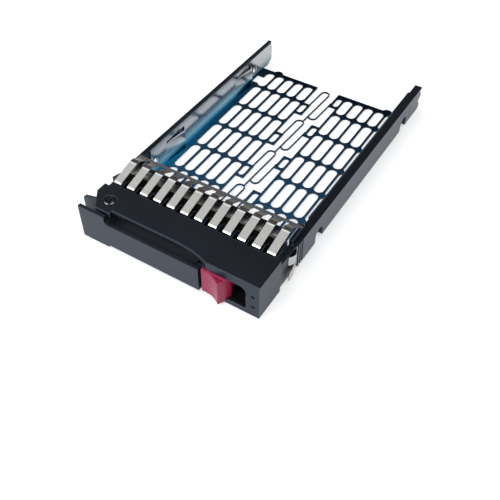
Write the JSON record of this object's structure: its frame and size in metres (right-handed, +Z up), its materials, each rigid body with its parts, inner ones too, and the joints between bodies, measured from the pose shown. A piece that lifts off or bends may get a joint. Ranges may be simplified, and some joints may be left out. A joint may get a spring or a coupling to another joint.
{
  "type": "hot-swap drive carrier",
  "caption": "Low drive tray with a perforated sprung steel floor, folded side walls, plastic runners, a contact-finger strip and a front bezel with swing-out ejector lever and latch button.",
  "frame": {"origin": "middle of the footprint, on the underside of the floor", "axes": "+X to the right seen from the bezel, +Y to the rear (the way the carrier slides in), +Z up"},
  "size_m": [0.0775, 0.1393, 0.0173],
  "materials": {
    "tray_steel": "bright zinc-plated sheet",
    "rail_plastic": "fine matt black",
    "light_pipe": "clear moulded plastic",
    "bezel_plastic": "fine matt black",
    "lever_plastic": "fine matt charcoal",
    "button_plastic": "satin burgundy",
    "spring_steel": "bright spring strip",
    "screw_steel": "plated"
  },
  "bodies": {
    "carrier": {"base_tray": "tray_steel", "left_rail": "rail_plastic", "right_rail": "rail_plastic", "light_pipe_upper": "light_pipe", "light_pipe_lower": "light_pipe", "bezel": "bezel_plastic", "emi_spring_top": "spring_steel", "emi_spring_right": "spring_steel", "pivot_screw": "screw_steel", "lever_spring": "spring_steel", "button_spring": "spring_steel", "bezel_screws": "screw_steel"},
    "lever": {"ejector_lever": "lever_plastic"},
    "button": {"release_button": "button_plastic"}
  },
  "joints": [
    {"name": "lever_hinge", "type": "hinge", "parent": "carrier", "child": "lever", "pos_m": [-0.0285, -0.0605, 0.006], "axis": [0, 0, -1], "range_deg": [0, 50], "deforming": ["lever_spring"]},
    {"name": "button_slide", "type": "slide", "parent": "carrier", "child": "button", "axis": [1, 0, 0], "range_m": [0, 0.004], "stiffness_N_per_m": 600, "deforming": ["button_spring"]}
  ]
}
